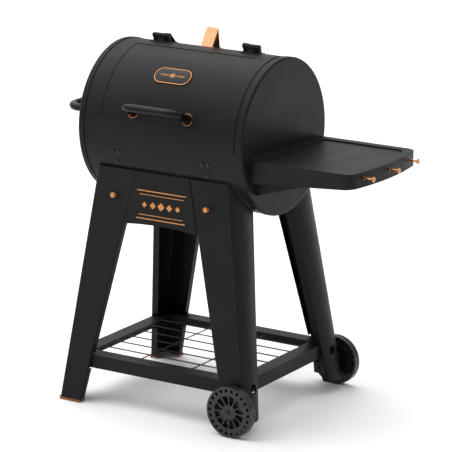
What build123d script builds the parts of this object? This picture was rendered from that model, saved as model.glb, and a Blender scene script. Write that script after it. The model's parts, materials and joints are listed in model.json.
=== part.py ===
from build123d import *

import math
import os

# Barrel charcoal grill on a four-legged cart.
# Millimetres. X runs along the barrel, Y from front to back, Z up from the floor.
# The model is laid out about the barrel's own mid plane and moved to the origin
# (bottom centre of the whole grill) when each piece is written.

# ---------------------------------------------------------------- driving sizes
sheet = 1.5                      # formed steel sheet of the cart
gap = 0.3                        # working gap between neighbouring pieces
bolt_hole = 4.1                  # round an 8 mm handle bolt

# barrel
barrel_radius = 250.0            # outside of the end caps and of the lid
barrel_half = 306.0              # outer face of an end cap
barrel_z = 892.0                 # height of the barrel's axis
shell_outer = 247.8
shell_sheet = 1.5
cap_sleeve = 21.0                # how far a cap reaches over the shell
cap_sheet = 1.7
cap_rim_radius = 7.0

# lid: a curved door over an opening in the shell, angles from the front horizontal
lid_half = 275.0
lid_low = -2.6
lid_high = 94.5
opening_half = 262.0
opening_low = 0.2
opening_high = 91.2
lid_sheet = 1.7
panel_half = 224.0
panel_low = 11.0
panel_high = 82.0
panel_depth = 1.6
panel_step = 2.6

# lid hinge
pin_y = 23.5
pin_z = 1158.5
pin_radius = 3.0
knuckle_radius = 8.2
hinge_x = 169.0
hinge_half = 30.0
knuckle_split = 12.0
tab_sheet = 2.5
tab_width = 20.0
tab_run = 34.0
running_gap = 0.06

# lid handle
grip_radius = 13.0
grip_wall = 1.6
grip_half = 101.0
grip_angle = 17.3                # where its legs meet the lid
grip_tilt = 24.0                 # how far its legs rise from the horizontal
grip_reach = 73.5
grip_bend = 33.0
ring_outer = 19.2
ring_inner = 16.9
ferrule_radius = 15.8

# badge on the lid
badge_half = 66.0
badge_rise = 28.5
badge_corner = 27.0
badge_angle = 48.4
badge_rim = 1.9

# lid stop
stop_half = 21.0
stop_front_y = 23.0
stop_ridge_y = 62.0
stop_rear_y = 70.5
stop_ridge_z = 1196.5
stop_foot = 26.0
stop_sheet = 2.5

# carry handle on the left end
carry_radius = 12.5
carry_wall = 1.5
carry_x = -432.5
carry_half = 127.0
carry_z = 926.0
carry_bend = 43.0
carry_flange = 21.0

# dampers on the left end
damper_radius = 44.0
damper_rise = 148.0
damper_hole = 12.5
damper_pitch = 27.0
damper_holes = 3

# legs: a tapered angle with returned edges, sizes at leg_ref_z and per mm of height
leg_ref_z = 417.0
leg_x = 293.5
leg_x_slope = -0.1437
leg_y = 261.5
leg_y_slope = -0.0948
leg_front = 111.5
leg_front_slope = 0.0868
leg_side = 112.0
leg_side_slope = 0.0784
leg_lip = 24.0
leg_corner = 7.0
leg_bulge = 0.135                # how far the side plate bows out, per mm of its width
leg_edge = 5.0
leg_top = 776.0
left_leg_bottom = 2.5
foot_cap_height = 8.0
right_leg_bottom = 36.0
notch_low = 112.0
notch_high = 167.0
access_hole = 15.0
access_y = 239.5
access_z = 139.0
loft_low = 0.0
loft_high = 800.0

# aprons between the legs
apron_bottom = 604.0
apron_arch = 8.0
apron_return = 18.0

# bottom frame and wire shelf
frame_x = 321.5
frame_y = 274.5
frame_top = 161.0
frame_height = 44.0
frame_flange = 51.0
wire_radius = 2.0
wire_rows = (-170.0, -102.0, -34.0, 34.0, 102.0, 170.0)
wire_columns = (-97.0, 97.0)
wire_tuck = 14.0

# wheels
wheel_x = 311.8
wheel_radius = 82.0
wheel_width = 28.0
wheel_mid_y = 320.0
wheel_bore = 5.06
axle_radius = 5.0
axle_tail_y = -194.0
bracket_sheet = 2.0
nut_offset = 1.1
bolt_head = 7.3                  # axle bolt head, sunk in the hub
sunk_face = 7.0
wheel_face = 1.5                 # how far the side plates lie inside the tread's edges
spoke_count = 12
pocket_count = 22
pocket_ring = 70.0
pocket_size = 10.0

# side shelf
shelf_left = 309.0
shelf_right = 683.0
shelf_end = 661.0
shelf_half = 202.0
shelf_top = 857.0
shelf_skirt_in = 784.0
shelf_skirt_out = 810.0
shelf_corner = 34.0
shelf_sheet = 1.5
recess_left = 351.0
recess_half = 172.0
recess_right = 635.0
recess_end = 655.0
recess_depth = 4.0
recess_corner = 22.0
bracket_y = 165.5
bracket_low = 737.0
bracket_tip = 600.0
bracket_tip_z = 828.0

# hanging pegs
shelf_peg_reach = 34.0
leg_peg_reach = 18.0
peg_stem = 3.2
peg_root = 4.6
peg_head = 8.8
shelf_peg_y = 138.0
shelf_peg_z = 837.0
leg_peg_x = 174.0
leg_peg_z = 691.0

# ornament on the front apron
emblem_half = 92.0
emblem_low = 630.0
emblem_middle = 674.0
emblem_high = 718.0
emblem_step = 31.0

# fire and cooking grates
grate_z = 872.0
grate_depth = 224.0
grate_outer_x = 272.0
grate_rod = 3.0
fire_z = 742.0
fire_half_x = 250.0
fire_half_y = 166.0
screw_x = 167.0

centre_x = (shelf_right + shelf_peg_reach + carry_x - carry_radius) / 2

os.makedirs("parts", exist_ok=True)


# ---------------------------------------------------------------- small helpers
def write(name, shape):
    """Move a piece to the grill's origin and write it."""
    placed = Pos(-centre_x, 0, 0) * shape
    solids = placed.solids()
    if len(solids) == 1:
        export_step(solids[0], "parts/" + name + ".step")
    else:
        export_step(Compound(children=solids), "parts/" + name + ".step")


def join(pieces):
    return Compound(children=[solid for piece in pieces for solid in piece.solids()])


def box(x0, x1, y0, y1, z0, z1):
    block = Box(x1 - x0, y1 - y0, z1 - z0)
    return Pos((x0 + x1) / 2, (y0 + y1) / 2, (z0 + z1) / 2) * block


def rod_x(x0, x1, y, z, radius):
    rod = Rot(0, 90, 0) * Cylinder(radius, x1 - x0)
    return Pos((x0 + x1) / 2, y, z) * rod


def rod_y(x, y0, y1, z, radius):
    rod = Rot(90, 0, 0) * Cylinder(radius, y1 - y0)
    return Pos(x, (y0 + y1) / 2, z) * rod


def hexagon_y(x, y0, y1, z, radius):
    prism = extrude(RegularPolygon(radius, 6), amount=y1 - y0)
    return Pos(x, y1, z) * (Rot(90, 0, 0) * prism)


def hexagon_x(x0, x1, y, z, radius):
    prism = extrude(RegularPolygon(radius, 6), amount=x1 - x0)
    return Pos(x0, y, z) * (Rot(0, 90, 0) * prism)


def both_sides(piece):
    """The piece and its mirror image, front and back."""
    return [piece, piece.mirror(Plane.XZ)]


def both_ends(piece):
    """The piece and its mirror image, left and right."""
    return [piece, piece.mirror(Plane.YZ)]


def around_barrel(radius, angle):
    """Y and Z of a point on the barrel, angle up from the front horizontal."""
    turn = math.radians(angle)
    return -radius * math.cos(turn), barrel_z + radius * math.sin(turn)


def barrel_solid(radius, half=400.0):
    return rod_x(-half, half, 0, barrel_z, radius)


def sector(inner, outer, x0, x1, low, high):
    """Part of a tube round the barrel's axis, between two angles."""
    far = 3 * outer
    middle = (low + high) / 2
    corners = [(0.0, 0.0)]
    for angle in (low, middle, high):
        turn = math.radians(180 - angle)
        corners.append((far * math.cos(turn), far * math.sin(turn)))
    wedge = Plane.YZ * make_face(Polyline(*corners, close=True))
    wedge = Pos(x0, 0, barrel_z) * extrude(wedge, amount=x1 - x0, dir=(1, 0, 0))
    tube = rod_x(x0, x1, 0, barrel_z, outer) - rod_x(x0 - 1, x1 + 1, 0, barrel_z, inner)
    return tube & wedge


def bent_tube(corners, bend, radius, wall):
    """A tube along straight runs joined by round bends, open at both ends."""
    path = FilletPolyline(*corners, radius=bend)
    start = Plane(origin=path @ 0, z_dir=path % 0)
    return sweep(start * (Circle(radius) - Circle(radius - wall)), path=path)


# ---------------------------------------------------------------- barrel
def barrel_shell():
    inner = shell_outer - shell_sheet
    half = barrel_half - cap_rim_radius
    tube = rod_x(-half, half, 0, barrel_z, shell_outer)
    tube -= rod_x(-half - 1, half + 1, 0, barrel_z, inner)
    tube -= sector(inner - 5, shell_outer + 5, -opening_half, opening_half, opening_low, opening_high)
    for hole in hanger_screw_places():
        tube -= radial_rod(hole[0], hole[1], inner - 5, shell_outer + 5, 3.2)
    return tube


def radial_rod(x, angle, r0, r1, radius):
    """A rod standing out from the barrel's axis at one place and angle."""
    rod = Pos(0, 0, (r0 + r1) / 2) * Cylinder(radius, r1 - r0)
    return Pos(x, 0, barrel_z) * (Rot(90 - angle, 0, 0) * rod)


def end_cap(side):
    outer = Pos(0, 0, cap_sleeve / 2) * Cylinder(barrel_radius, cap_sleeve)
    outer = fillet(outer.edges().group_by(Axis.Z)[-1], cap_rim_radius)
    depth = cap_sleeve - cap_sheet
    inner = Pos(0, 0, depth / 2) * Cylinder(shell_outer + 0.1, depth)
    inner = fillet(inner.edges().group_by(Axis.Z)[-1], cap_rim_radius - cap_sheet)
    cup = outer - inner
    turned = Rot(0, 90, 0) * cup
    placed = Pos(barrel_half - cap_sleeve, 0, barrel_z) * turned
    return placed if side > 0 else placed.mirror(Plane.YZ)


def damper_holes_at(z):
    spots = []
    for number in range(damper_holes):
        turn = math.radians(90 + number * 360 / damper_holes)
        spots.append((damper_pitch * math.cos(turn), z + damper_pitch * math.sin(turn)))
    return spots


def left_cap():
    cap = end_cap(-1)
    for z in (barrel_z - damper_rise, barrel_z + damper_rise):
        for hole_y, hole_z in damper_holes_at(z):
            cap -= rod_x(-barrel_half - 5, -barrel_half + 5, hole_y, hole_z, damper_hole)
        cap -= rod_x(-barrel_half - 5, -barrel_half + 5, 0, z, 3.06)
    for y in (-carry_half, carry_half):
        cap -= rod_x(-barrel_half - 5, -barrel_half + 5, y, carry_z, bolt_hole)
    return cap


def right_cap():
    cap = end_cap(1)
    for y, z in bracket_bolt_places():
        cap -= rod_x(barrel_half - 5, barrel_half + 5, y, z, 3.2)
    return cap


# ---------------------------------------------------------------- lid
def lid_panel():
    outer = barrel_radius
    inner = outer - lid_sheet
    skin = sector(inner, outer, -lid_half, lid_half, lid_low, lid_high)
    step = math.degrees(panel_step / outer)
    block = sector(inner - panel_depth, outer, -panel_half, panel_half, panel_low, panel_high)
    pocket = sector(outer - panel_depth, outer + 2, -panel_half + panel_step,
                    panel_half - panel_step, panel_low + step, panel_high - step)
    under = sector(inner - panel_depth - 5, inner - panel_depth, -panel_half - 1, panel_half + 1,
                   panel_low - 1, panel_high + 1)
    lid = skin + block - pocket - under
    for x in (-grip_half, grip_half):
        lid -= handle_axis_rod(x, -12, 12, bolt_hole)
    return lid


def handle_frame(x):
    """Plane whose normal follows a handle leg, its origin on the lid."""
    y, z = around_barrel(barrel_radius - panel_depth, grip_angle)
    tilt = math.radians(grip_tilt)
    return Plane(origin=(x, y, z), x_dir=(1, 0, 0), z_dir=(0, -math.cos(tilt), math.sin(tilt)))


def handle_axis_rod(x, low, high, radius):
    rod = Pos(0, 0, (low + high) / 2) * Cylinder(radius, high - low)
    return handle_frame(x) * rod


def lid_handle():
    frame = handle_frame(0)
    foot = frame.origin + frame.z_dir * 9.0
    grip = frame.origin + frame.z_dir * grip_reach
    corners = [
        (-grip_half, foot.Y, foot.Z),
        (-grip_half, grip.Y, grip.Z),
        (grip_half, grip.Y, grip.Z),
        (grip_half, foot.Y, foot.Z),
    ]
    return bent_tube(corners, grip_bend, grip_radius, grip_wall)


def on_lid(shape):
    """Trim a piece that sits on the lid's sunk panel."""
    return shape - barrel_solid(barrel_radius - panel_depth + 0.05)


def handle_rings():
    rings = []
    for x in (-grip_half, grip_half):
        y, z = around_barrel(barrel_radius - panel_depth, grip_angle)
        turn = math.radians(grip_angle)
        face = Plane(origin=(x, y, z), x_dir=(1, 0, 0), z_dir=(0, -math.cos(turn), math.sin(turn)))
        ring = Cylinder(ring_outer, 9) - Cylinder(ring_inner, 12)
        ring = fillet(ring.edges().group_by(Axis.Z)[-1], 0.8)
        rings.append(on_lid(face * ring))
    return join(rings)


def handle_ferrules():
    pieces = []
    bore = grip_radius - grip_wall - 0.02
    for x in (-grip_half, grip_half):
        base = Cylinder(ferrule_radius, 10)
        collar = Pos(0, 0, 6.95) * Cone(ferrule_radius, grip_radius + 1.6, 3.9)
        plug = Pos(0, 0, 14) * Cylinder(bore, 18)
        seat = Cylinder(grip_radius + 0.02, 5.8) - Cylinder(bore, 6)
        body = base + collar + plug - Pos(0, 0, 12) * seat - Cylinder(bolt_hole, 70)
        pieces.append(on_lid(handle_frame(x) * body))
    return join(pieces)


def handle_bolts():
    pieces = []
    inside = barrel_radius - lid_sheet - panel_depth
    for x in (-grip_half, grip_half):
        shank = handle_axis_rod(x, -8, 20, 4.0)
        head = handle_axis_rod(x, -13, -4.6, 8.0)
        under_lid = head & barrel_solid(inside - 0.05)
        pieces.append(shank + under_lid)
    return join(pieces)


def badge_prism(half, rise, corner):
    y, z = around_barrel(barrel_radius, badge_angle)
    turn = math.radians(badge_angle)
    face = Plane(origin=(0, y, z), x_dir=(1, 0, 0), z_dir=(0, -math.cos(turn), math.sin(turn)))
    outline = RectangleRounded(2 * half, 2 * rise, corner)
    return face * Pos(0, 0, -20) * extrude(outline, amount=40)


def badge_shell(low, high):
    floor = barrel_radius - panel_depth + 0.05
    return barrel_solid(floor + high, 120) - barrel_solid(floor + low, 130)


def badge_frame():
    outer = badge_prism(badge_half, badge_rise, badge_corner)
    hole = badge_prism(badge_half - badge_rim, badge_rise - badge_rim, badge_corner - badge_rim)
    return (outer - hole) & badge_shell(0, 3.6)


def badge_plate():
    inset = badge_rim + 0.05
    outer = badge_prism(badge_half - inset, badge_rise - inset, badge_corner - inset)
    return outer & badge_shell(0, 2.8)


# ---------------------------------------------------------------- hinges
def hinge_leaf(x_middle, low, high, radius, thickness):
    return sector(radius, radius + thickness, x_middle - hinge_half, x_middle + hinge_half, low, high)


def knuckle(x0, x1):
    body = rod_x(x0, x1, pin_y, pin_z, knuckle_radius)
    return body - rod_x(x0 - 1, x1 + 1, pin_y, pin_z, pin_radius + running_gap)


def hinge_block(x0, x1, corners):
    """Solid metal between a leaf and its knuckle, bored for the pin."""
    side = Plane.YZ * make_face(Polyline(*corners, close=True))
    web = Pos(x0, 0, 0) * extrude(side, amount=x1 - x0, dir=(1, 0, 0))
    return web - rod_x(x0 - 1, x1 + 1, pin_y, pin_z, pin_radius + running_gap)


def lid_hinge_leaves():
    corners = [
        (pin_y - 10, barrel_z + barrel_radius - 4),
        (pin_y - 4.5, barrel_z + barrel_radius - 4),
        (pin_y + 4, pin_z - knuckle_radius + 1.5),
        (pin_y - 5, pin_z - knuckle_radius + 3),
    ]
    pieces = []
    for middle in (-hinge_x, hinge_x):
        leaf = hinge_leaf(middle, 89.8, 93.6, barrel_radius + 0.02, 2.0)
        x0 = middle - knuckle_split + gap
        x1 = middle + knuckle_split - gap
        web = hinge_block(x0, x1, corners) - barrel_solid(barrel_radius + 0.02)
        pieces.append(leaf + web + knuckle(x0, x1))
    return join(pieces)


def shell_hinge_leaves():
    corners = [
        (pin_y - 1, barrel_z + shell_outer - 8),
        (pin_y + 15, barrel_z + shell_outer - 8),
        (pin_y + knuckle_radius - 0.5, pin_z),
        (pin_y - 4, pin_z - knuckle_radius + 1.5),
    ]
    pieces = []
    for side in (-1, 1):
        middle = side * hinge_x
        piece = hinge_leaf(middle, 96.4, 103.5, shell_outer + 0.02, 2.0)
        for x0, x1 in ((-hinge_half, -knuckle_split), (knuckle_split, hinge_half)):
            web = hinge_block(middle + x0, middle + x1, corners)
            piece = piece + (web - barrel_solid(shell_outer + 0.02)) + knuckle(middle + x0, middle + x1)
        pieces.append(piece + hinge_tab(side))
    return join(pieces)


def hinge_tab(side):
    """A strap over the inboard knuckle, sloping back down to the shell."""
    top = pin_z + knuckle_radius - 0.9
    foot_y = pin_y + tab_run
    foot_z = barrel_z + math.sqrt(shell_outer**2 - foot_y**2)
    path = Polyline((pin_y, top), (pin_y + 4, top), (foot_y, foot_z + 0.5))
    strap = Plane.YZ * offset_line(path, tab_sheet / 2)
    strap = extrude(strap, amount=tab_width, dir=(1, 0, 0))
    low = 90 + math.degrees(math.asin((foot_y - 3) / shell_outer))
    foot = sector(shell_outer, shell_outer + tab_sheet, 0, tab_width, low, low + 4.0)
    inboard = hinge_x - hinge_half - 2.0
    tab = Pos(inboard, 0, 0) * (strap + foot) - barrel_solid(shell_outer + 0.02)
    return tab if side > 0 else tab.mirror(Plane.YZ)


def hinge_pins():
    pieces = []
    for middle in (-hinge_x, hinge_x):
        pin = rod_x(middle - hinge_half - 1.5, middle + hinge_half + 1.5, pin_y, pin_z, pin_radius)
        for end in (-1, 1):
            x = middle + end * (hinge_half + 2.2)
            pin += rod_x(x - 1.2, x + 1.2, pin_y, pin_z, 5.0)
        pieces.append(pin)
    return join(pieces)


def lid_stop():
    """A strap bent to an inverted V that the raised lid leans on."""
    base_front = barrel_z + math.sqrt(shell_outer**2 - stop_front_y**2)
    base_rear = barrel_z + math.sqrt(shell_outer**2 - stop_rear_y**2)
    path = Polyline(
        (stop_front_y, base_front - 1),
        (stop_ridge_y, stop_ridge_z - stop_sheet),
        (stop_rear_y, base_rear - 1),
    )
    strap = Plane.YZ * offset_line(path, stop_sheet / 2)
    strap = Pos(-stop_half, 0, 0) * extrude(strap, amount=2 * stop_half, dir=(1, 0, 0))
    foot_low = 90 + math.degrees(math.asin((stop_rear_y - 1) / shell_outer))
    foot_high = foot_low + math.degrees(stop_foot / shell_outer)
    foot = sector(shell_outer, shell_outer + stop_sheet, -stop_half, stop_half, foot_low, foot_high)
    toe_high = 90 + math.degrees(math.asin((stop_front_y + 14) / shell_outer))
    toe_low = 90 + math.degrees(math.asin((stop_front_y - 0.6) / shell_outer))
    toe = sector(shell_outer, shell_outer + stop_sheet, -stop_half, stop_half, toe_low, toe_high)
    return (strap + foot + toe) - barrel_solid(shell_outer + 0.02)


def offset_line(path, distance):
    """The face of a bent strap whose middle line is the given path."""
    face = None
    for edge in path.edges():
        run = edge @ 1 - edge @ 0
        side = Vector(-run.Y, run.X, 0).normalized() * distance
        along = run.normalized() * distance
        first = edge @ 0 - along
        last = edge @ 1 + along
        corners = [first - side, last - side, last + side, first + side]
        piece = make_face(Polyline(*corners, close=True))
        face = piece if face is None else face + piece
    return face


def stop_screws():
    pieces = []
    face = shell_outer + stop_sheet
    angle = 90 + math.degrees(math.asin((stop_rear_y + 13) / shell_outer))
    for x in (-11.0, 11.0):
        pieces.append(domed_head(radial_place(x, angle, face + 0.03), 5.5, 3.0))
    return join(pieces)


def radial_place(x, angle, radius):
    """Plane facing away from the barrel's axis."""
    y, z = around_barrel(radius, angle)
    turn = math.radians(angle)
    return Plane(origin=(x, y, z), x_dir=(1, 0, 0), z_dir=(0, -math.cos(turn), math.sin(turn)))


def domed_head(place, radius, rise):
    """A round screw head with a cross recess, standing on a plane."""
    head = Pos(0, 0, rise / 2) * Cylinder(radius, rise)
    head = fillet(head.edges().group_by(Axis.Z)[-1], rise * 0.62)
    for turn in (45, 135):
        head -= Pos(0, 0, rise) * (Rot(0, 0, turn) * Box(radius * 0.95, radius * 0.22, rise * 0.9))
    return place * head


# ---------------------------------------------------------------- carry handle and dampers
def carry_handle():
    start = -barrel_half - 3.0
    corners = [
        (start, -carry_half, carry_z),
        (carry_x, -carry_half, carry_z),
        (carry_x, carry_half, carry_z),
        (start, carry_half, carry_z),
    ]
    tube = bent_tube(corners, carry_bend, carry_radius, carry_wall)
    for y in (-carry_half, carry_half):
        flange = rod_x(start, -barrel_half - 0.05, y, carry_z, carry_flange)
        flange = fillet(flange.edges().group_by(Axis.X)[0], 1.5)
        tube += flange - rod_x(start - 1, -barrel_half + 1, y, carry_z, bolt_hole)
    return tube


def carry_bolts():
    pieces = []
    for y in (-carry_half, carry_half):
        shank = rod_x(-barrel_half - 8, -barrel_half + 6, y, carry_z, 4.0)
        nut_face = -barrel_half + cap_sheet + 0.05
        nut = hexagon_x(nut_face, nut_face + 6, y, carry_z, 7.5)
        pieces.append(shank + nut)
    return join(pieces)


def damper_disc(z):
    outer_x = -barrel_half - gap
    disc = rod_x(outer_x - 1.6, outer_x, 0, z, damper_radius)
    for number in range(damper_holes):
        turn = math.radians(90 + (number + 0.5) * 360 / damper_holes)
        y = damper_pitch * math.cos(turn)
        disc -= rod_x(outer_x - 5, outer_x + 5, y, z + damper_pitch * math.sin(turn), damper_hole)
    disc -= rod_x(outer_x - 5, outer_x + 5, 0, z, 3.06)
    turn = math.radians(150)
    tab_y = (damper_radius - 8) * math.cos(turn)
    tab_z = z + (damper_radius - 8) * math.sin(turn)
    knob = rod_x(outer_x - 16, outer_x - 1, tab_y, tab_z, 5.0)
    knob = fillet(knob.edges().group_by(Axis.X)[0], 2.0)
    return disc + knob


def damper_rivets():
    pieces = []
    for z in (barrel_z - damper_rise, barrel_z + damper_rise):
        face = -barrel_half - gap - 1.6
        shank = rod_x(face - 0.5, -barrel_half + cap_sheet + 1, 0, z, 3.0)
        head = rod_x(face - gap - 2.4, face - gap, 0, z, 6.0)
        tail = rod_x(-barrel_half + cap_sheet + 0.05, -barrel_half + cap_sheet + 2, 0, z, 5.0)
        pieces.append(shank + head + tail)
    return join(pieces)


# ---------------------------------------------------------------- legs
def leg_sizes(z):
    up = z - leg_ref_z
    x = leg_x + leg_x_slope * up
    y = leg_y + leg_y_slope * up
    front = leg_front + leg_front_slope * up
    side = leg_side + leg_side_slope * up
    return x, y, front, side


def leg_section(z):
    """Section of the front left leg, its corner outwards and its side plate bowed."""
    x, y, front, side = leg_sizes(z)
    corners = [
        (0, 0),
        (front, 0),
        (front, leg_lip),
        (front - sheet, leg_lip),
        (front - sheet, sheet),
        (sheet, sheet),
        (sheet, side - sheet),
        (leg_lip, side - sheet),
        (leg_lip, side),
        (0, side),
    ]
    points = [(u - x, v - y) for u, v in corners]
    bow = leg_bulge * side
    middle = side / 2 - y
    outside = ThreePointArc(points[9], (-x - bow, middle), points[0])
    inside = ThreePointArc(points[5], (sheet - x - bow, middle), points[6])
    face = make_face(Polyline(*points[:6]) + inside + Polyline(*points[6:]) + outside)
    rounding = {0: leg_corner, 1: leg_edge, 4: leg_edge - sheet, 5: leg_corner - sheet,
                6: leg_edge - sheet, 9: leg_edge}
    for index, radius in rounding.items():
        u, v = points[index]
        corner = face.vertices().sort_by_distance((u, v, 0))[0]
        face = fillet(corner, radius)
    return Pos(0, 0, z) * face


def left_leg_blank():
    return loft([leg_section(loft_low), leg_section(loft_high)], ruled=True)


def trimmed_leg(bottom):
    leg = left_leg_blank()
    leg -= barrel_solid(barrel_radius + gap)
    leg -= box(-500, 500, -500, 500, leg_top, loft_high + 10)
    leg -= box(-500, 500, -500, 500, loft_low - 10, bottom)
    leg -= box(-frame_x - 2.5, 0, -frame_y - 2.5, 0, notch_low, notch_high)
    return leg


def front_left_leg():
    return trimmed_leg(left_leg_bottom)


def front_right_leg():
    leg = trimmed_leg(right_leg_bottom).mirror(Plane.YZ)
    leg -= rod_x(300, 400, -access_y, access_z, access_hole)
    leg -= rod_y(wheel_x, -320, -180, wheel_radius, axle_radius + 0.2)
    return leg - leg_foot_round()


def leg_foot_round():
    """Rounds the inner bottom corner of a right leg's front plate."""
    x, y, front = leg_sizes(right_leg_bottom)[:3]
    edge = x - front
    radius = 16.0
    top = right_leg_bottom + radius
    block = box(edge - 8, edge + radius, -y - 8, -y + leg_lip + 8, right_leg_bottom - 1, top)
    round_bar = rod_y(edge + radius, -y - 9, -y + leg_lip + 9, top, radius)
    return block - round_bar


def foot_cap():
    """A moulded shoe round the foot of the front left leg."""
    x, y, front, side = leg_sizes(0)
    wall = 2.0
    inner = sheet + 2.0
    outline = [
        (-x - wall, -y - wall),
        (-x + front + wall, -y - wall),
        (-x + front + wall, -y + leg_lip + wall),
        (-x + front - inner, -y + leg_lip + wall),
        (-x + front - inner, -y + inner),
        (-x + inner, -y + inner),
        (-x + inner, -y + side - inner),
        (-x + leg_lip + wall, -y + side - inner),
        (-x + leg_lip + wall, -y + side + wall),
        (-x - wall, -y + side + wall),
    ]
    bow = leg_bulge * side
    middle = side / 2 - y
    outside = ThreePointArc(outline[9], (-x - wall - bow, middle), outline[0])
    inside = ThreePointArc(outline[5], (-x + inner - bow, middle), outline[6])
    face = make_face(Polyline(*outline[:6]) + inside + Polyline(*outline[6:]) + outside)
    shoe = extrude(face, amount=foot_cap_height)
    corner = shoe.edges().filter_by(Axis.Z).sort_by_distance((-x - wall, -y - wall, 4))[0]
    shoe = fillet(corner, leg_corner - 1)
    return shoe - front_left_leg()


# ---------------------------------------------------------------- aprons
def apron_section(z):
    x, y, front = leg_sizes(z)[:3]
    half = x - front - 0.5
    corners = [
        (-half, -y),
        (half, -y),
        (half, -y + apron_return),
        (half - sheet, -y + apron_return),
        (half - sheet, -y + sheet),
        (-half + sheet, -y + sheet),
        (-half + sheet, -y + apron_return),
        (-half, -y + apron_return),
    ]
    return Pos(0, 0, z) * make_face(Polyline(*corners, close=True))


def apron():
    panel = loft([apron_section(apron_bottom - 20), apron_section(loft_high)], ruled=True)
    panel -= box(-400, 400, -400, 0, leg_top, loft_high + 10)
    panel -= barrel_solid(barrel_radius + gap)
    x, _, front, _ = leg_sizes(apron_bottom)
    span = x - front
    arch_radius = (span**2 + apron_arch**2) / (2 * apron_arch)
    arch = rod_y(0, -400, 0, apron_bottom + apron_arch - arch_radius, arch_radius)
    panel -= arch & box(-400, 400, -400, 0, apron_bottom - 40, apron_bottom + apron_arch + 1)
    panel -= box(-400, 400, -400, 0, apron_bottom - 40, apron_bottom)
    return panel


def apron_bolt_places():
    """Places square to the right-hand seam between the front leg and the apron."""
    lean = math.degrees(math.atan(leg_front_slope - leg_x_slope))
    places = []
    for z in (650.0, 725.0):
        x, y, front = leg_sizes(z)[:3]
        places.append(Pos(x - front, -y + 11.0, z) * Rot(0, -lean, 0))
    return places


def apron_bolts():
    pieces = []
    for place in apron_bolt_places():
        shank = rod_x(-8, 9, 0, 0, 3.0)
        head = rod_x(sheet + 0.1, sheet + 3.6, 0, 0, 5.2)
        nut = hexagon_x(-sheet - 5.4, -sheet - 0.6, 0, 0, 5.5)
        pieces.extend(both_ends(place * (shank + head + nut)))
    mirrored = [piece.mirror(Plane.XZ) for piece in pieces]
    return join(pieces + mirrored)


def with_bolt_holes(piece):
    for place in apron_bolt_places():
        for hole in both_ends(place * rod_x(-9, 9, 0, 0, 3.1)):
            piece -= hole
    return piece


def apron_emblem():
    """Plain ornament on the front apron: a row of diamonds between two fine stripes."""
    pieces = []
    for z in (emblem_low, emblem_high):
        stripe = extrude(RectangleRounded(2 * emblem_half, 3.0, 1.4), amount=1.0)
        pieces.append(apron_plane(z) * stripe)
    for z in (emblem_low + 12, emblem_high - 12):
        line = extrude(RectangleRounded(1.8 * emblem_half, 1.8, 0.8), amount=1.0)
        pieces.append(apron_plane(z) * line)
    for number in (-2, -1, 0, 1, 2):
        size = 19.0 - 3.0 * abs(number)
        diamond = extrude(Rot(0, 0, 45) * RectangleRounded(size, size, 1.5), amount=1.0)
        pieces.append(apron_plane(emblem_middle) * Pos(number * emblem_step, 0, 0) * diamond)
    return join(pieces)


def apron_plane(z):
    lean = math.atan(-leg_y_slope)
    origin = (0, -leg_sizes(z)[1] - 0.03, z)
    return Plane(origin=origin, x_dir=(1, 0, 0), z_dir=(0, -math.cos(lean), math.sin(lean)))


# ---------------------------------------------------------------- bottom frame
def front_rail():
    inner_x = frame_x - frame_flange
    inner_y = frame_y - frame_flange
    cut = 0.15
    flange = [
        (-frame_x + cut, -frame_y),
        (frame_x - cut, -frame_y),
        (inner_x - cut, -inner_y),
        (-inner_x + cut, -inner_y),
    ]
    wall = [
        (-frame_x + cut, -frame_y),
        (frame_x - cut, -frame_y),
        (frame_x - sheet - cut, -frame_y + sheet),
        (-frame_x + sheet + cut, -frame_y + sheet),
    ]
    return mitred_rail(flange, wall)


def side_rail():
    inner_x = frame_x - frame_flange
    inner_y = frame_y - frame_flange
    cut = 0.15
    flange = [
        (frame_x, -frame_y + cut),
        (frame_x, frame_y - cut),
        (inner_x, inner_y - cut),
        (inner_x, -inner_y + cut),
    ]
    wall = [
        (frame_x, -frame_y + cut),
        (frame_x, frame_y - cut),
        (frame_x - sheet, frame_y - sheet - cut),
        (frame_x - sheet, -frame_y + sheet + cut),
    ]
    return mitred_rail(flange, wall)


def mitred_rail(flange, wall):
    top = extrude(make_face(Polyline(*flange, close=True)), amount=sheet)
    web = extrude(make_face(Polyline(*wall, close=True)), amount=frame_height)
    rail = Pos(0, 0, frame_top - sheet) * top + Pos(0, 0, frame_top - frame_height) * web
    return rail


def wire_shelf():
    row_z = frame_top - sheet - 0.1 - wire_radius
    column_z = row_z - 2 * wire_radius + 0.4
    row_end = frame_x - frame_flange + wire_tuck
    column_end = frame_y - frame_flange + wire_tuck
    grid = None
    for y in wire_rows:
        wire = rod_x(-row_end, row_end, y, row_z, wire_radius)
        grid = wire if grid is None else grid + wire
    for x in wire_columns:
        grid += rod_y(x, -column_end, column_end, column_z, wire_radius)
    return grid


def rail_studs():
    """Welded studs that hold the rails off the inside of the legs."""
    pieces = []
    leg = front_left_leg()
    stud_z = frame_top - frame_height / 2
    pieces.append(rod_y(-frame_x + 28, -frame_y - 20, -frame_y + 8, stud_z, 6.0))
    pieces.append(rod_x(-frame_x - 40, -frame_x + 8, -frame_y + 62, stud_z, 6.0))
    studs = []
    for piece in pieces:
        trimmed = piece - leg - front_rail() - side_rail().mirror(Plane.YZ)
        studs.append(nearest_piece(trimmed.solids(), piece))
    quarter = join(studs)
    half = join(both_ends(quarter))
    return join(both_sides(half))


def nearest_piece(solids, whole):
    """The length of a stud that lies between leg and rail."""
    middle = whole.center()
    return min(solids, key=lambda solid: (solid.center() - middle).length)


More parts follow.
